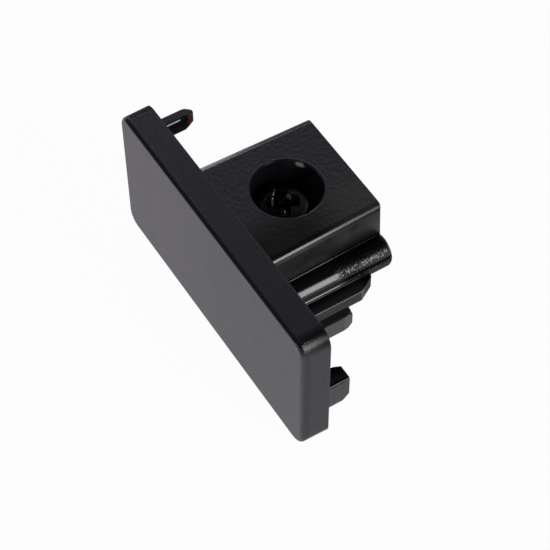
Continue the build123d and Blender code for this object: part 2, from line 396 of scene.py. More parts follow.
class Tree:
    """The node tree of a material or of the world, built one node at a time."""

    def __init__(self, owner):
        owner.use_nodes = True
        self.nodes = owner.node_tree.nodes
        self.links = owner.node_tree.links
        self.nodes.clear()

    def node(self, kind, settings=None, sockets=None):
        """Adds a node of this kind, with its settings first, then the value or link of each socket."""
        made = self.nodes.new(kind)
        for name, value in (settings or {}).items():
            setattr(made, name, value)
        for name, value in (sockets or {}).items():
            if isinstance(value, Field):
                self.links.new(value.socket, made.inputs[name])
            else:
                made.inputs[name].default_value = value
        return made

    def field(self, kind, output, settings=None, sockets=None):
        """Adds a node and gives one of its outputs."""
        return Field(self, self.node(kind, settings, sockets).outputs[output])

    def mix_colours(self, factor, first, second):
        """First where the factor is 0, second where it is 1."""
        sockets = {0: factor, 6: opaque(first), 7: opaque(second)}
        return self.field("ShaderNodeMix", 2, {"data_type": "RGBA"}, sockets)

    def coats_of_colour(self, colour, coats):
        """A first colour with coats over it, each with the share of the surface that it covers."""
        for share, coat in coats:
            colour = self.mix_colours(share, colour, coat)
        return colour

    def mix_shaders(self, factor, first, second):
        """First where the factor is 0, second where it is 1."""
        return self.field("ShaderNodeMixShader", 0, None, {0: factor, 1: first, 2: second})

    def noise(self, place, scale, detail, roughness):
        """Cloudy noise about 0.5, with scale features to the millimetre where place is in millimetres."""
        sockets = {"Vector": place, "Scale": scale, "Detail": detail, "Roughness": roughness}
        return self.field("ShaderNodeTexNoise", "Fac", None, sockets)

    def bump(self, height):
        """The normal of the surface under a relief of this height in millimetres."""
        sockets = {"Height": height, "Strength": 1.0, "Distance": MM}
        return self.field("ShaderNodeBump", "Normal", None, sockets)

    def place_in_mm(self):
        """The point of the surface in the model's own frame, in millimetres."""
        place = self.field("ShaderNodeTexCoord", "Object")
        settings = {"operation": "SCALE"}
        return self.field("ShaderNodeVectorMath", 0, settings, {0: place, "Scale": 1 / MM})

    def axes(self, vector):
        """The X, Y and Z of a vector."""
        split = self.node("ShaderNodeSeparateXYZ", None, {0: vector})
        return [Field(self, output) for output in split.outputs]


def opaque(colour):
    """What a colour socket takes: a field as it is, or red, green and blue with an alpha of 1."""
    return colour if isinstance(colour, Field) else (*colour, 1.0)


# Properties

class CapFinish(bpy.types.PropertyGroup):
    """Colours and grain of the moulded body."""

    front_colour: FloatVectorProperty(
        name="Front Colour", description="Colour of the cover plate's front",
        subtype="COLOR", size=3, min=0.0, max=1.0, default=(0.0380, 0.0290, 0.0510),
    )
    # Painted light: the plate's front is made lighter towards its left end
    front_left_light_colour: FloatVectorProperty(
        name="Front Left Light Colour", description="Colour of the cover plate's front at its left end",
        subtype="COLOR", size=3, min=0.0, max=1.0, default=(0.0560, 0.0440, 0.0740),
    )
    grained_colour: FloatVectorProperty(
        name="Grained Colour", description="Colour of the plate's edges and of the block's top",
        subtype="COLOR", size=3, min=0.0, max=1.0, default=(0.0088, 0.0056, 0.0143),
    )
    # Painted light: the block's top is made lighter behind the well on the right
    crown_light_colour: FloatVectorProperty(
        name="Crown Light Colour", description="Colour of the block's top behind the well on the right",
        subtype="COLOR", size=3, min=0.0, max=1.0, default=(0.022, 0.022, 0.022),
    )
    # Also painted shade: the block's top towards the right, the plate's right corner and the front's upper
    # edge take this colour
    inner_colour: FloatVectorProperty(
        name="Inner Colour", description="Colour of the smooth ribs, fins and prongs",
        subtype="COLOR", size=3, min=0.0, max=1.0, default=(0.0025, 0.0025, 0.0026),
    )
    # Painted highlight: a light line along the plate's upper edge on its inner side
    inner_edge_highlight_colour: FloatVectorProperty(
        name="Inner Edge Highlight Colour", description="Colour of the plate's upper edge on its inner side",
        subtype="COLOR", size=3, min=0.0, max=1.0, default=(0.034, 0.031, 0.038),
    )
    well_colour: FloatVectorProperty(
        name="Well Colour", description="Colour of the well's wall",
        subtype="COLOR", size=3, min=0.0, max=1.0, default=(0.008, 0.008, 0.011),
    )
    # Painted light: a lighter colour on the shaded side of the well's wall, away from the plate
    far_wall_light_colour: FloatVectorProperty(
        name="Far Wall Light Colour", description="Colour of the well's wall on the side away from the plate",
        subtype="COLOR", size=3, min=0.0, max=1.0, default=(0.024, 0.024, 0.031),
    )
    # Painted highlight: a lighter colour on the well's rim on the side away from the plate
    well_rim_highlight_colour: FloatVectorProperty(
        name="Well Rim Highlight Colour", description="Colour of the well's upper edge on the side away from the plate",
        subtype="COLOR", size=3, min=0.0, max=1.0, default=(0.050, 0.046, 0.056),
    )
    # Painted highlight: a pale patch high on the well's wall that stands in for a glint
    well_highlight_colour: FloatVectorProperty(
        name="Well Highlight Colour", description="Colour of the rubbed patch high on the well's wall",
        subtype="COLOR", size=3, min=0.0, max=1.0, default=(0.55, 0.55, 0.57),
    )
    # A dark red tint on the ends of two of the prongs
    red_tint_colour: FloatVectorProperty(
        name="Red Tint Colour", description="Dark red trace on two of the prongs' ends",
        subtype="COLOR", size=3, min=0.0, max=1.0, default=(0.065, 0.009, 0.004),
    )
    grained_roughness: FloatProperty(
        name="Grained Roughness", description="Roughness of the grained faces",
        subtype="FACTOR", min=0.0, max=1.0, default=0.34,
    )
    front_roughness: FloatProperty(
        name="Front Roughness", description="Roughness of the cover plate's front",
        subtype="FACTOR", min=0.0, max=1.0, default=0.41,
    )
    inner_roughness: FloatProperty(
        name="Inner Roughness", description="Roughness of the smooth faces",
        subtype="FACTOR", min=0.0, max=1.0, default=0.17,
    )
    fine_grain: FloatProperty(
        name="Fine Grain", description="Height of the plate's fine grain",
        unit="LENGTH", min=0.0, default=0.032 * MM,
    )
    leather_grain: FloatProperty(
        name="Leather Grain", description="Height of the leathery grain on the block's top",
        unit="LENGTH", min=0.0, default=0.055 * MM,
    )
    rib_grain: FloatProperty(
        name="Rib Grain", description="Height of the coarse grain on the ribs' ends",
        unit="LENGTH", min=0.0, default=0.054 * MM,
    )


class ScrewShape(bpy.types.PropertyGroup):
    """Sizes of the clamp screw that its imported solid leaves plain, and its colours."""

    rim_height: FloatProperty(
        name="Rim Height", description="Height of the straight side of the head",
        unit="LENGTH", min=0.0, default=1.7 * MM,
    )
    head_height: FloatProperty(
        name="Head Height", description="Height of the pan head",
        unit="LENGTH", min=0.0, default=2.0 * MM,
    )
    shank_diameter: FloatProperty(
        name="Shank Diameter", description="Outer diameter of the thread",
        unit="LENGTH", min=0.0, default=3.0 * MM,
    )
    pitch: FloatProperty(
        name="Thread Pitch", description="Rise of the thread in one turn",
        unit="LENGTH", min=0.0, default=0.5 * MM,
    )
    recess_span: FloatProperty(
        name="Recess Span", description="Width across the cross recess",
        unit="LENGTH", min=0.0, default=3.4 * MM,
    )
    wing_width: FloatProperty(
        name="Wing Width", description="Width of each slot of the cross",
        unit="LENGTH", min=0.0, default=1.3 * MM,
    )
    wing_depth: FloatProperty(
        name="Wing Depth", description="Depth of each slot of the cross",
        unit="LENGTH", min=0.0, default=1.1 * MM,
    )
    core_diameter: FloatProperty(
        name="Core Diameter", description="Width of the conical middle of the recess",
        unit="LENGTH", min=0.0, default=2.2 * MM,
    )
    core_depth: FloatProperty(
        name="Core Depth", description="Depth of the conical middle of the recess",
        unit="LENGTH", min=0.0, default=1.5 * MM,
    )
    recess_angle: FloatProperty(
        name="Recess Angle", description="How far the cross is turned from the X axis",
        unit="ROTATION", default=math.radians(-24.0),
    )
    edge_radius: FloatProperty(
        name="Edge Radius", description="Rounding of the recess's inner edges",
        unit="LENGTH", min=0.0, default=0.10 * MM,
    )
    mouth_radius: FloatProperty(
        name="Mouth Radius", description="Height over which the head's top rounds into the recess",
        unit="LENGTH", min=0.0, default=0.40 * MM,
    )
    ring_points: IntProperty(
        name="Ring Points", description="Points round the screw",
        min=48, max=400, default=216,
    )
    colour: FloatVectorProperty(
        name="Screw Colour", description="Colour of the blackened steel",
        subtype="COLOR", size=3, min=0.0, max=1.0, default=(0.010, 0.010, 0.011),
    )
    dark_colour: FloatVectorProperty(
        name="Dark Colour", description="Colour of the darker grains of the blackened steel",
        subtype="COLOR", size=3, min=0.0, max=1.0, default=(0.004, 0.004, 0.004),
    )
    # Painted sheen: a lighter colour on one side of the head
    head_sheen_colour: FloatVectorProperty(
        name="Head Sheen Colour", description="Colour of the head where its black is worn thin",
        subtype="COLOR", size=3, min=0.0, max=1.0, default=(0.034, 0.029, 0.030),
    )
    # Wear and painted highlight along the cross's edges, and painted highlight on the right of the rim
    edge_wear_and_highlight_colour: FloatVectorProperty(
        name="Edge Colour", description="Colour of the rubbed edges of the recess and the head",
        subtype="COLOR", size=3, min=0.0, max=1.0, default=(0.110, 0.108, 0.106),
    )
    # Painted glints: near-white metal colour put where the cross's edges should catch the light
    glint_colour: FloatVectorProperty(
        name="Glint Colour", description="Colour of the bare metal on the edges of the cross",
        subtype="COLOR", size=3, min=0.0, max=1.0, default=(0.95, 0.95, 0.94),
    )


class Studio(bpy.types.PropertyGroup):
    """Camera, floor and surroundings."""

    camera_target: FloatVectorProperty(
        name="Camera Target", description="Point that the camera was aimed near",
        subtype="TRANSLATION", unit="LENGTH", size=3, default=(0.0, 5.0 * MM, 9.0 * MM),
    )
    camera_distance: FloatProperty(
        name="Camera Distance", description="Distance from the camera to the target",
        unit="LENGTH", default=191.597 * MM,
    )
    camera_azimuth: FloatProperty(
        name="Camera Azimuth", description="Turn of the camera round the object from the front",
        unit="ROTATION", default=math.radians(58.357),
    )
    camera_elevation: FloatProperty(
        name="Camera Elevation", description="Height of the camera above the horizon",
        unit="ROTATION", default=math.radians(53.546),
    )
    camera_roll: FloatProperty(
        name="Camera Roll", description="Turn of the picture about its middle",
        unit="ROTATION", default=math.radians(-0.417),
    )
    camera_slide: FloatVectorProperty(
        name="Camera Slide", description="Sideways and upward move of the camera off the target",
        unit="LENGTH", size=2, default=(-0.276 * MM, -3.236 * MM),
    )
    focal_length: FloatProperty(
        name="Focal Length", description="Focal length on a 36 mm wide sensor, in millimetres",
        subtype="DISTANCE_CAMERA", default=122.66,
    )
    horizon_colour: FloatVectorProperty(
        name="Horizon Colour", description="Colour of the surroundings at the level of the object",
        subtype="COLOR", size=3, min=0.0, max=1.0, default=(1.0, 1.0, 1.0),
    )
    left_zenith_colour: FloatVectorProperty(
        name="Left Zenith Colour", description="Colour of the surroundings above the object on the left",
        subtype="COLOR", size=3, min=0.0, max=1.0, default=(0.46, 0.45, 0.49),
    )
    right_zenith_colour: FloatVectorProperty(
        name="Right Zenith Colour", description="Colour of the surroundings above the object on the right",
        subtype="COLOR", size=3, min=0.0, max=1.0, default=(0.04, 0.04, 0.04),
    )
    seen_white: FloatProperty(
        name="Seen White", description="Share of plain white in the table as the camera sees it",
        subtype="FACTOR", min=0.0, max=1.0, default=0.97,
    )
    mirrored_white: FloatProperty(
        name="Mirrored White", description="Share of plain white in the table as the object sees it",
        subtype="FACTOR", min=0.0, max=1.0, default=0.78,
    )
    floor_colour: FloatVectorProperty(
        name="Floor Colour", description="Colour of the white table",
        subtype="COLOR", size=3, min=0.0, max=1.0, default=(0.92, 0.92, 0.92),
    )


# Meshes

def smooth_lower(first, second, radius):
    """The lower of two heights, with the corner between them rounded over about this radius."""
    blend = np.clip(0.5 + 0.5 * (second - first) / radius, 0.0, 1.0)
    return second + (first - second) * blend - radius * blend * (1 - blend) / 2


def smooth_higher(first, second, radius):
    """The higher of two heights, with the corner between them rounded."""
    return -smooth_lower(-first, -second, radius)


def rings_to_mesh(name, rings):
    """A closed skin over rings of points, from the first ring to the last, with a pole at each end.

    Faces point outwards where the rings run down the Z axis and each ring runs anticlockwise from above.
    """
    rows, around = rings.shape[:2]
    poles = np.stack([rings[0].mean(0), rings[-1].mean(0)])
    points = np.concatenate([rings.reshape(-1, 3), poles])
    row, column = np.meshgrid(np.arange(rows - 1), np.arange(around), indexing="ij")
    following = (column + 1) % around
    upper, lower = row * around, (row + 1) * around
    quads = np.stack([upper + column, lower + column, lower + following, upper + following], axis=-1)
    first = np.arange(around)
    second = (first + 1) % around
    top_pole, bottom_pole = rows * around, rows * around + 1
    last_row = (rows - 1) * around
    top = np.stack([np.full(around, top_pole), first, second], axis=-1)
    bottom = np.stack([np.full(around, bottom_pole), last_row + second, last_row + first], axis=-1)
    mesh = bpy.data.meshes.new(name)
    faces = [*quads.reshape(-1, 4).tolist(), *top.tolist(), *bottom.tolist()]
    mesh.from_pydata(points.tolist(), [], faces)
    mesh.polygons.foreach_set("use_smooth", np.ones(len(mesh.polygons), dtype=bool))
    mesh.update()
    return mesh


def put_in_scene(mesh, material):
    """An object of this mesh, at the origin, with one material."""
    mesh.materials.append(material)
    made = bpy.data.objects.new(mesh.name, mesh)
    bpy.context.scene.collection.objects.link(made)
    return made


def recess_floor(shape, x, y):
    """Height of the cross recess over the head's top, as a height field.

    Each slot is a valley with sloping sides and ends and a flat bottom, and a conical pit stands in the
    middle. The recess is the deeper of the two, with rounded corners between them.
    """
    wall_slope = 1 / math.tan(SLOT_WALL_ANGLE)
    core_slope = 1 / math.tan(CORE_WALL_ANGLE)
    radius = shape.edge_radius
    half_width, half_span = shape.wing_width / 2, shape.recess_span / 2

    def slot(along, across):
        """Depth of a slot: the least of what its sides, its ends and its flat bottom give."""
        side = (half_width - np.abs(across)) * wall_slope
        end = (half_span - np.abs(along)) * wall_slope
        return smooth_lower(smooth_lower(side, end, radius * 4), shape.wing_depth, radius)

    core = (shape.core_diameter / 2 - np.hypot(x, y)) * core_slope
    core = smooth_lower(core, shape.core_depth, radius)
    cross = smooth_higher(slot(x, y), slot(y, x), radius * 3)
    return -smooth_higher(cross, core, radius)


def screw_rings(shape):
    """Rings of the screw from the middle of its top to its tip, about the Z axis, head's underside at 0.

    The top is an ellipse turned round the axis, lowered by the recess. The side is straight, and a quarter
    circle rounds its lower end and the neck. On the shank the radius follows the thread: a trapezium wave
    of the height, which moves by a pitch in each turn. A cone cuts it off at the tip.
    """
    head_radius = (screw_high.x - screw_low.x) / 2
    shank_radius = shape.shank_diameter / 2
    crown = shape.head_height - shape.rim_height
    tip_height = screw_low.z - (screw_high.z - shape.head_height)
    turn = np.linspace(0, 2 * math.pi, shape.ring_points, endpoint=False)

    def rings(radius, height):
        """Points round the axis at these radii and heights, with a row for each ring."""
        radius, height, angle = np.broadcast_arrays(radius, height, turn)
        return np.stack([radius * np.cos(angle), radius * np.sin(angle), height], axis=-1)

    def round_rings(radius, height):
        """Circles round the axis, each with one radius and one height."""
        return rings(radius[:, None], height[:, None])

    even = np.linspace(POLE_RADIUS, EVEN_SHARE * head_radius, EVEN_RINGS)
    outer = head_radius * np.sin(np.linspace(math.asin(EVEN_SHARE), math.pi / 2, OUTER_RINGS))[1:]
    top_radius = np.concatenate([even, outer])
    dome = shape.rim_height + crown * np.sqrt(np.clip(1 - (top_radius / head_radius) ** 2, 0, 1))
    top = round_rings(top_radius, dome)
    cosine, sine = math.cos(shape.recess_angle), math.sin(shape.recess_angle)
    cut_x = top[..., 0] * cosine + top[..., 1] * sine
    cut_y = top[..., 1] * cosine - top[..., 0] * sine
    floor = shape.head_height + recess_floor(shape, cut_x, cut_y)
    top[..., 2] = smooth_lower(top[..., 2], floor, shape.mouth_radius)

    quarter = np.linspace(0, math.pi / 2, CORNER_RINGS)
    inward, downward = HEAD_CORNER * np.cos(quarter), HEAD_CORNER * np.sin(quarter)
    side_height = np.linspace(shape.rim_height, HEAD_CORNER, SIDE_RINGS)[1:]
    side = round_rings(np.full_like(side_height, head_radius), side_height)
    lower_rim = round_rings(head_radius - HEAD_CORNER + inward[1:], HEAD_CORNER - downward[1:])
    neck = round_rings(shank_radius + HEAD_CORNER - downward, inward - HEAD_CORNER)

    turns = (-HEAD_CORNER - tip_height) / shape.pitch
    height = np.linspace(-HEAD_CORNER, tip_height, int(turns * TURN_RINGS))[1:, None]
    phase = (height / shape.pitch - turn / (2 * math.pi)) % 1.0
    ridge = 1 - np.abs(2 * phase - 1)
    crest = np.clip((ridge - ROOT_FLAT) / (1 - ROOT_FLAT - CREST_FLAT), 0, 1)
    fade_in = np.clip((-HEAD_CORNER - height) / shape.pitch, 0, 1)
    thread_depth = THREAD_DEPTH * shape.pitch
    threaded = shank_radius - thread_depth * (1 - crest) * fade_in
    tip_radius = shank_radius - thread_depth - TIP_INSET
    cone = tip_radius + (shank_radius - tip_radius) * np.clip((height - tip_height) / TIP_LENGTH, 0, 1)
    shank = rings(np.minimum(threaded, cone), height)
    return np.concatenate([top, side, lower_rim, neck, shank])


# Materials

class BodyZones:
    """Zones of the body as fields that are 1 on the zone and 0 elsewhere.

    With them stand the places, distances and kinds of noise that they are made of, and the depth of the
    slope on the upper prongs' inner edges, which grows from its start in proportion to the height.
    """

    def __init__(self, tree):
        place = tree.place_in_mm()
        x, y, z = tree.axes(place)
        aside = x.math("ABSOLUTE")
        self.x, self.y, self.z, self.aside = x, y, z, aside
        self.fine = tree.noise(place, *FINE_NOISE)
        self.leather = tree.noise(place, *LEATHER_NOISE)
        self.coarse = tree.noise(place, *COARSE_NOISE)
        self.patchy = tree.noise(place, *PATCHY_NOISE)
        self.cloud = tree.noise(place, *CLOUD_NOISE)

        inside = y.above(*INNER_FACE_Y)
        self.plate = 1.0 - inside
        self.front = self.plate * y.below(*FRONT_Y)
        # The front's upper edge, which takes a painted shade in its colour as well as the veiled gloss
        self.upper_edge = y.below(*UPPER_EDGE_Y) * z.above(*UPPER_EDGE_Z) * x.above(*UPPER_EDGE_X)
        # The plate's upper inner edge, which carries a painted highlight line
        self.inner_edge = y.between(*INNER_EDGE_Y) * z.above(*INNER_EDGE_Z)
        left_corner = self.plate * x.below(*LEFT_CORNER_X) * z.above(*LEFT_CORNER_Z)
        self.left_corner = left_corner * y.above(*LEFT_CORNER_Y)
        self.right_corner = self.plate * x.above(*RIGHT_CORNER_X) * z.above(*RIGHT_CORNER_Z)
        self.right_end = self.plate * x.above(*RIGHT_END_X) * z.below(*RIGHT_END_Z)

        self.off_well = distance(x, y - WELL_Y)
        self.well = inside * self.off_well.below(*WELL_WALL) * z.above(*WELL_FLOOR_Z)
        self.block = inside * z.above(*BLOCK_Z) * aside.below(*BLOCK_ASIDE) * (1.0 - self.well)
        self.crown = self.block * z.above(*CROWN_Z)
        self.side = self.block - self.crown
        self.block_fillet = self.block * z.between(*BLOCK_FILLET_Z) * aside.above(*BLOCK_FILLET_ASIDE)
        self.past_left_edge = y * LEFT_EDGE_TAPER + LEFT_EDGE_X - x
        left_edge = self.block * self.past_left_edge.above(*LEFT_FILLET_START)
        self.left_fillet = left_edge * z.above(*LEFT_FILLET_Z)
        self.off_fillets = (1.0 - self.block_fillet) * (1.0 - self.left_fillet)

        self.low = inside * z.below(*BLOCK_Z) * aside.between(*RIB_AND_FIN_ASIDE)
        self.rib = self.low * distance(aside - RIB_X, z - RIB_Z).below(*RIB_WALL)
        self.fin = self.low - self.rib
        self.far_end = self.low * (y + self.coarse * FAR_END_RAGGEDNESS).above(*FAR_END_Y)
        grained_crest = 1.0 - z.above(*RIB_CREST_Z) * SMOOTH_CREST
        self.speckled = self.coarse.ramp(*COARSE_SPOTS) * self.far_end * self.rib * grained_crest

        prong = inside * aside.above(*PRONG_ASIDE)
        self.upper_prong = prong * z.above(*UPPER_PRONG_Z)
        self.lower_prong = prong * z.below(*LOWER_PRONG_Z)
        self.lower_prong_top = prong * z.between(*LOWER_PRONG_TOP_Z)
        facet_start = y.ramp(*FACET_Y_FADE) * FACET_RISE + FACET_Z
        self.facet = inside * aside.between(*FACET_ASIDE) * (z - facet_start).at_least(0.0)
        # Dark red tint on the ends of the upper left prong and the lower right prong
        upper_red_tint = self.upper_prong * x.between(*UPPER_RED_TINT_X) * z.below(*UPPER_RED_TINT_Z)
        self.upper_red_tint = upper_red_tint * y.ramp(*UPPER_RED_TINT_Y_FADE)
        lower_red_tint = inside * x.above(*LOWER_RED_TINT_X) * y.above(*LOWER_RED_TINT_Y)
        self.lower_red_tint = lower_red_tint * z.between(*LOWER_RED_TINT_Z)


def body_relief(zones, finish):
    """Height of the body's relief in millimetres.

    Each grain is its noise times its height on its own zone. The fillet between rib and fin rises with the
    square of the way left to its end, and the upper prongs' inner edges fall off in a straight slope.
    """
    aside, z = zones.aside, zones.z
    root = zones.low * z.ramp(*ROOT_Z_FADE) * aside.above(*ROOT_ASIDE)
    down_rib = (FIN_TOP + ROOT_FILLET_REACH - z).at_least(0.0)
    along_fin = (RIB_X + RIB_RADIUS + ROOT_FILLET_REACH - aside).at_least(0.0)
    fillet = root * (zones.rib * down_rib.squared() + zones.fin * along_fin.squared())
    grain = zones.fine * zones.plate * (finish.fine_grain / MM)
    grain = grain + zones.leather * zones.crown * zones.off_fillets * (finish.leather_grain / MM)
    grain = grain + zones.speckled * (finish.rib_grain / MM)
    return grain + fillet * ROOT_FILLET_HEIGHT - zones.facet * FACET_SLOPE


def body_colour(tree, zones, finish):
    """Colour of the body: coats of colour laid over each other, each with the share that its zone takes."""
    x, y, z = zones.x, zones.y, zones.z
    upper_left_top = zones.upper_prong * x.below(*UPPER_PRONG_TOP_X) * z.above(*UPPER_PRONG_TOP_Z)
    # Painted shade: the block's top towards the right and the plate's right corner take the darker inner
    # colour, not the tinted one
    tinted = zones.plate * (1.0 - zones.right_corner) + zones.crown * x.ramp(*CROWN_LEFT_X_FADE)
    neutral = 1.0 - tinted - zones.lower_prong - upper_left_top
    # Painted light: a lighter colour on the block's top behind the well on the right
    crown_light = zones.crown * x.ramp(*CROWN_RIGHT_X_FADE) * y.ramp(*CROWN_REAR_Y_FADE)
    # Painted light: the shaded far side of the well's wall is made lighter in colour
    far_wall = zones.well * toward(x, y, FAR_WALL_DIRECTION).ramp(*FAR_WALL_FADE)
    # Painted highlight on the well's rim, on the side away from the plate
    well_edge = zones.crown * zones.off_well.between(*WELL_RIM_HIGHLIGHT_RING)
    well_rim_highlight = well_edge * toward(x, y, WELL_RIM_HIGHLIGHT_DIRECTION).ramp(*WELL_RIM_HIGHLIGHT_FADE)
    # Painted highlight: a pale patch high on the far wall of the well, in place of a glint
    middle_x, middle_y, middle_z = WELL_HIGHLIGHT_MIDDLE
    off_well_highlight = (x - middle_x).squared() + (y - middle_y).squared()
    off_well_highlight = off_well_highlight + (z - middle_z).squared() * WELL_HIGHLIGHT_FLATNESS
    well_highlight = zones.well * (off_well_highlight + (zones.coarse - 0.5) * WELL_HIGHLIGHT_RAGGEDNESS).ramp(WELL_HIGHLIGHT_SIZE, 0.0)
    return tree.coats_of_colour(finish.grained_colour, (
        (zones.front, finish.front_colour),
        # Painted light: the front grows lighter towards its left end
        (zones.front * x.ramp(*FRONT_LEFT_X_FADE), finish.front_left_light_colour),
        (neutral, finish.inner_colour),
        (zones.cloud.ramp(*CLOUD_SPOTS) * COAT["cloud"], (0.0, 0.0, 0.0)),
        (zones.well * COAT["well"], finish.well_colour),
        (far_wall * COAT["far wall"], finish.far_wall_light_colour),
        # Painted shade: the front's upper edge takes the dark inner colour
        (zones.upper_edge, finish.inner_colour),
        (crown_light, finish.crown_light_colour),
        # Painted highlight: a light line along the plate's upper inner edge
        (zones.inner_edge * zones.fine.ramp(*FINE_SPOTS), finish.inner_edge_highlight_colour),
        (well_rim_highlight * COAT["well_rim_highlight"], finish.well_rim_highlight_colour),
        (well_highlight, finish.well_highlight_colour),
        # Dark red tint on the ends of two prongs
        (zones.upper_red_tint + zones.lower_red_tint * COAT["lower red tint"], finish.red_tint_colour),
    ))


def body_roughness(zones, finish):
    """Roughness of the body: smooth inside, rougher where it is grained, roughest on the plate's front."""
    off_fillet = 1.0 - zones.block_fillet * SMOOTHED_FILLET
    off_left_fillet = 1.0 - zones.left_fillet * SMOOTHED_LEFT_FILLET
    grained = zones.plate * (1.0 - zones.right_corner * SMOOTHED_CORNER)
    grained = grained + zones.block * off_fillet * off_left_fillet
    roughness = finish.inner_roughness + grained * (finish.grained_roughness - finish.inner_roughness)
    roughness = roughness + zones.front * (finish.front_roughness - finish.grained_roughness)
    return roughness - zones.speckled * SPECKLE_GLOSS + (zones.fine - 0.5) * FINE_ROUGHNESS


def body_veil(zones):
    """Share of the veiled gloss over the body: the sum of what the zones give, and 1 at most."""
    x, y, z = zones.x, zones.y, zones.z
    crown = zones.crown * x.ramp(*CROWN_VEIL_X_FADE) * y.ramp(*CROWN_VEIL_Y_FADE) * VEIL["crown"]
    patches = zones.patchy.ramp(*PATCHY_SPOTS) * VEIL["side's patches"]
    side = VEIL["side"] + patches + z.ramp(*SIDE_UPPER_Z_FADE) * VEIL["side's upper part"]
    right_fillet = zones.block_fillet * x.above(*RIGHT_SIDE_X) * y.ramp(*RIGHT_FILLET_Y_FADE)
    left_rear = zones.past_left_edge.above(*LEFT_FILLET_END)
    left_rear = left_rear + y.ramp(*LEFT_FILLET_Y_FADE) * VEIL["left fillet's rear"]
    fin_edge = zones.aside.above(*FIN_EDGE_ASIDE) * z.between(*FIN_EDGE_Z)
    left_prong = x.below(*LEFT_PRONG_X) * z.below(*LEFT_PRONG_Z) * zones.facet.ramp(*FACET_DEPTH_FADE)
    right_prong = x.between(*RIGHT_PRONG_X) * z.above(*RIGHT_PRONG_Z)
    lip = z.above(*WELL_LIP_Z) * x.above(*WELL_LIP_X)
    left_tip = x.below(*LEFT_CORNER_TIP_X)
    right_front = y.below(*RIGHT_END_FRONT_Y)
    shares = (
        zones.upper_edge * x.below(*UPPER_EDGE_END_X) * VEIL["upper edge"],
        zones.left_corner * (VEIL["left corner"] + left_tip * VEIL["left corner's tip"]),
        zones.right_corner * y.ramp(*RIGHT_CORNER_Y_FADE) * VEIL["right corner"],
        zones.right_end * (VEIL["right end"] + right_front * VEIL["right end by the front"]),
        zones.well * (VEIL["well"] + lip * VEIL["well's lip"]),
        zones.rib * z.above(*RIB_TOP_Z) * zones.far_end * VEIL["rib's top"],
        zones.rib * z.between(*RIB_BAND_Z) * VEIL["rib's band"],
        zones.rib * z.below(*RIB_FLANK_Z) * zones.far_end * VEIL["rib's flank"],
        zones.fin * (1.0 - fin_edge) * (VEIL["fin"] + y.above(*FIN_END_Y) * VEIL["fin's end"]),
        zones.upper_prong * left_prong * VEIL["upper left prong"],
        zones.upper_prong * right_prong * VEIL["upper right prong"],
        zones.lower_prong * VEIL["lower prong"],
        zones.lower_prong_top * VEIL["lower prong's top"],
        right_fillet * VEIL["right fillet"],
        zones.left_fillet * (VEIL["left fillet"] + left_rear),
        (crown + zones.side * side) * zones.off_fillets,
    )
    return sum(shares).math("MINIMUM", 1.0)


def plastic_material(finish):
    """Black moulded plastic.

    The plate has a fine grain and the block's top a leathery one. The ribs and fins are smooth near the
    plate and coarse at their ends. Veiled places show little of their surroundings.
    """
    material = bpy.data.materials.new("cap_plastic")
    tree = Tree(material)
    zones = BodyZones(tree)
    colour = body_colour(tree, zones, finish)
    normal = tree.bump(body_relief(zones, finish))

    def plastic(roughness, ior):
        sockets = {"Base Color": colour, "Roughness": roughness, "IOR": ior, "Normal": normal}
        return tree.field("ShaderNodeBsdfPrincipled", 0, None, sockets)

    clear = plastic(body_roughness(zones, finish), CLEAR_IOR)
    veiled = plastic(VEILED_ROUGHNESS, VEILED_IOR)
    surface = tree.mix_shaders(body_veil(zones), clear, veiled)
    tree.node("ShaderNodeOutputMaterial", None, {"Surface": surface})
    return material


def cross_glint(x, y, middle_x, middle_y, direction, half_length, half_width, glint_strength):
    """A painted glint, a spot of near-white metal with the form of an ellipse.

    The ways along and across it, as shares of its half length and half width, are squared and added up.
    """
    cosine, sine = math.cos(math.radians(direction)), math.sin(math.radians(direction))
    off_x, off_y = x - middle_x, y - middle_y
    lengthwise = toward(off_x, off_y, (cosine, sine)) * (1 / half_length)
    crosswise = toward(off_x, off_y, (-sine, cosine)) * (1 / half_width)
    return (lengthwise.squared() + crosswise.squared()).ramp(*GLINT_FADE) * glint_strength


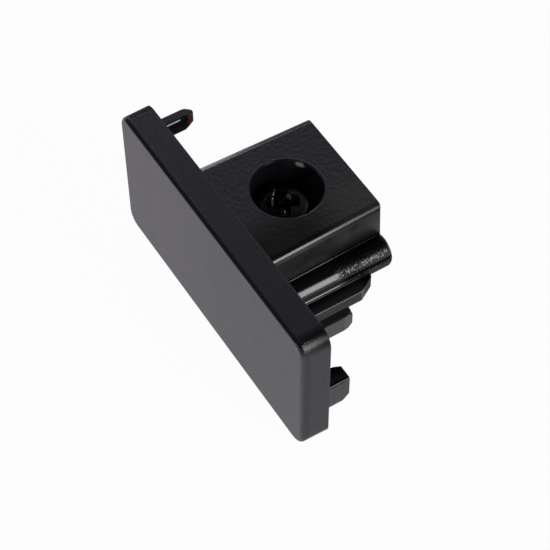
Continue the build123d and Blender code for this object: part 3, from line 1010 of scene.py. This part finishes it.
def screw_material(shape):
    """Blackened steel with a faint grain.

    It is painted lighter on one side of the head as a painted sheen, worn and painted lighter along the
    edges of the cross as a painted highlight, painted with a highlight on the right of the rim, and painted
    near white in a few small spots as glints. An edge of the cross is where the surface lies a little below
    the dome that the head would have without its recess.
    """
    material = bpy.data.materials.new("screw_steel")
    tree = Tree(material)
    place = tree.place_in_mm()
    x, y, z = tree.axes(place)
    middle = (screw_low + screw_high) / 2 / MM
    head_radius = (screw_high.x - screw_low.x) / 2 / MM
    crown = (shape.head_height - shape.rim_height) / MM
    grain = tree.noise(place, *SCREW_NOISE)
    blotch = tree.noise(place, *BLOTCH_NOISE)
    off_axis = distance(x - middle.x, y - middle.y) * (1 / head_radius)
    dome = (1.0 - off_axis.squared()).at_least(0.0).math("SQRT") * crown
    below_dome = dome - z + (screw_high.z / MM - crown)
    # Painted sheen: one side of the head is lighter
    sheen_side = (toward(x, y, SHEEN_DIRECTION) + blotch * SHEEN_RAGGEDNESS).ramp(*SHEEN_FADE)
    # Edges of the cross, worn and also painted lighter as a highlight
    cross_edge = below_dome.between(*CROSS_EDGE_DEPTH) * off_axis.below(*CROSS_EDGE_OUT)
    # Painted highlight on the right of the rim
    rim = off_axis.between(*RIM_OUT) * toward(x, y, SCREW_RIM_HIGHLIGHT_DIRECTION).ramp(*SCREW_RIM_HIGHLIGHT_FADE)
    # Painted glints on the edges of the cross
    glints = [cross_glint(x, y, *glint) for glint in CROSS_GLINTS]
    colour = tree.coats_of_colour(shape.colour, (
        (grain.ramp(*DARK_SPOTS) * COAT["dark grains"], shape.dark_colour),
        (sheen_side * grain.ramp(*SHEEN_SPOTS) * COAT["head sheen"], shape.head_sheen_colour),
        (cross_edge * grain.ramp(*CROSS_EDGE_SPOTS), shape.edge_wear_and_highlight_colour),
        (rim * grain.ramp(*RIM_SPOTS), shape.edge_wear_and_highlight_colour),
        *((glint, shape.glint_colour) for glint in glints),
    ))
    roughness = grain * SCREW_GRAIN_ROUGHNESS + sum(glints) * GLINT_ROUGHNESS + SCREW_ROUGHNESS
    shader = tree.field("ShaderNodeBsdfPrincipled", 0, None, {
        "Base Color": colour,
        "Metallic": 1.0,
        "Roughness": roughness,
        "Normal": tree.bump(grain * SCREW_GRAIN),
    })
    tree.node("ShaderNodeOutputMaterial", None, {"Surface": shader})
    return material


def floor_material(studio):
    """A white table, which shows the camera more plain white and less shadow than it shows the object."""
    material = bpy.data.materials.new("white_table")
    tree = Tree(material)
    rays = tree.node("ShaderNodeLightPath")
    seen = Field(tree, rays.outputs["Is Camera Ray"])
    shown = seen * (studio.seen_white - studio.mirrored_white) + studio.mirrored_white
    matt = tree.field("ShaderNodeBsdfDiffuse", 0, None, {"Color": opaque(studio.floor_colour)})
    white = tree.field("ShaderNodeEmission", 0, None, {"Color": opaque((1.0, 1.0, 1.0)), "Strength": 1.0})
    tree.node("ShaderNodeOutputMaterial", None, {"Surface": tree.mix_shaders(shown, matt, white)})
    return material


# Stage

def make_floor(studio):
    """A level white table under the object, large enough to fill every view from above."""
    mesh = bpy.data.meshes.new("table")
    corners = [(-1, -1, 0), (1, -1, 0), (1, 1, 0), (-1, 1, 0)]
    mesh.from_pydata([Vector(corner) * TABLE_REACH for corner in corners], [], [(0, 1, 2, 3)])
    floor = put_in_scene(mesh, floor_material(studio))


def make_world(studio):
    """Surroundings that are white at the horizon, dim overhead to the left and dark elsewhere above.

    The white reaches higher behind the object than in front of it.
    """
    world = bpy.data.worlds.new("studio")
    bpy.context.scene.world = world
    tree = Tree(world)
    x, y, z = tree.axes(tree.field("ShaderNodeTexCoord", "Generated"))
    to_the_left = toward(x, y, LEFT_DIRECTION).ramp(*TO_THE_LEFT_FADE)
    overhead = tree.mix_colours(to_the_left, studio.right_zenith_colour, studio.left_zenith_colour)
    front_sky, back_sky = z.ramp(*FRONT_SKY_FADE), z.ramp(*BACK_SKY_FADE)
    height = front_sky - y.ramp(*TO_THE_BACK_FADE) * (front_sky - back_sky)
    colour = tree.mix_colours(height, studio.horizon_colour, overhead)
    light = tree.field("ShaderNodeBackground", 0, None, {"Color": colour, "Strength": 1.0})
    tree.node("ShaderNodeOutputWorld", None, {"Surface": light})


def add_lamp(target, name, direction, distance_away, width, height, brightness):
    """A rectangular lamp that faces the target. Its power is its brightness times pi times its area."""
    lamp = bpy.data.lights.new(name, "AREA")
    lamp.shape = "RECTANGLE"
    lamp.size = width
    lamp.size_y = height
    lamp.energy = brightness * math.pi * width * height
    holder = bpy.data.objects.new(name, lamp)
    bpy.context.scene.collection.objects.link(holder)
    away = Vector(direction).normalized()
    holder.location = Vector(target) + away * distance_away
    holder.rotation_mode = "QUATERNION"
    holder.rotation_quaternion = away.to_track_quat("Z", "Y")
    holder.visible_camera = False


def make_camera(studio):
    """The camera of the photograph, placed by its distance, azimuth, elevation, roll and slide."""
    azimuth, elevation, roll = studio.camera_azimuth, studio.camera_elevation, studio.camera_roll
    back = Vector((
        math.sin(azimuth) * math.cos(elevation),
        -math.cos(azimuth) * math.cos(elevation),
        math.sin(elevation),
    ))
    level = Vector((math.cos(azimuth), math.sin(azimuth), 0.0))
    upright = back.cross(level)
    right = level * math.cos(roll) + upright * math.sin(roll)
    up = upright * math.cos(roll) - level * math.sin(roll)
    slide_right, slide_up = studio.camera_slide
    slide = right * slide_right + up * slide_up
    lens = bpy.data.cameras.new("camera")
    lens.sensor_width = SENSOR_WIDTH
    lens.lens = studio.focal_length
    lens.clip_start = CLIP_START
    lens.clip_end = CLIP_END
    camera = bpy.data.objects.new("camera", lens)
    bpy.context.scene.collection.objects.link(camera)
    camera.location = Vector(studio.camera_target) + slide + back * studio.camera_distance
    camera.rotation_mode = "QUATERNION"
    camera.rotation_quaternion = Matrix((right, up, back)).transposed().to_quaternion()
    bpy.context.scene.camera = camera


# Operators

class ENDCAP_OT_dress_body(bpy.types.Operator):
    """Give the moulded body its black plastic"""

    bl_idname = "endcap.dress_body"
    bl_label = "Dress Body"

    def execute(self, context):
        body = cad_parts["cap_body"]
        body.data.materials.clear()
        body.data.materials.append(plastic_material(context.scene.endcap_finish))
        return {"FINISHED"}


class ENDCAP_OT_make_screw(bpy.types.Operator):
    """Build the threaded clamp screw in place of its plain solid"""

    bl_idname = "endcap.make_screw"
    bl_label = "Make Clamp Screw"

    def execute(self, context):
        shape = context.scene.endcap_screw
        middle = (screw_low + screw_high) / 2
        underside = screw_high.z - shape.head_height
        rings = screw_rings(shape) + np.array([middle.x, middle.y, underside])
        screw = put_in_scene(rings_to_mesh("clamp_screw_threaded", rings), screw_material(shape))
        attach(screw, "root")
        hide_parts("clamp_screw")
        return {"FINISHED"}


class ENDCAP_OT_set_stage(bpy.types.Operator):
    """Set up the table, the surroundings, the lamps and the camera"""

    bl_idname = "endcap.set_stage"
    bl_label = "Set Stage"

    def execute(self, context):
        studio = context.scene.endcap_studio
        context.scene.view_settings.view_transform = "Standard"
        make_floor(studio)
        make_world(studio)
        for lamp in LAMPS:
            add_lamp((body_low + body_high) / 2, *lamp)
        make_camera(studio)
        return {"FINISHED"}


class ENDCAP_PT_sidebar(bpy.types.Panel):
    """The end cap's steps and settings"""

    bl_label = "End Cap"
    bl_idname = "ENDCAP_PT_sidebar"
    bl_space_type = "VIEW_3D"
    bl_region_type = "UI"
    bl_category = "End Cap"

    def draw(self, context):
        groups = (
            (ENDCAP_OT_dress_body, context.scene.endcap_finish),
            (ENDCAP_OT_make_screw, context.scene.endcap_screw),
            (ENDCAP_OT_set_stage, context.scene.endcap_studio),
        )
        for operator, settings in groups:
            box = self.layout.box()
            box.operator(operator.bl_idname)
            for name in settings.__annotations__:
                box.prop(settings, name)


CLASSES = (
    CapFinish,
    ScrewShape,
    Studio,
    ENDCAP_OT_dress_body,
    ENDCAP_OT_make_screw,
    ENDCAP_OT_set_stage,
    ENDCAP_PT_sidebar,
)


def register():
    for member in CLASSES:
        bpy.utils.register_class(member)
    bpy.types.Scene.endcap_finish = PointerProperty(type=CapFinish)
    bpy.types.Scene.endcap_screw = PointerProperty(type=ScrewShape)
    bpy.types.Scene.endcap_studio = PointerProperty(type=Studio)


def unregister():
    del bpy.types.Scene.endcap_studio
    del bpy.types.Scene.endcap_screw
    del bpy.types.Scene.endcap_finish
    for member in reversed(CLASSES):
        bpy.utils.unregister_class(member)


def main():
    register()
    bpy.ops.endcap.dress_body()
    bpy.ops.endcap.make_screw()
    bpy.ops.endcap.set_stage()


if __name__ == "__main__":
    main()
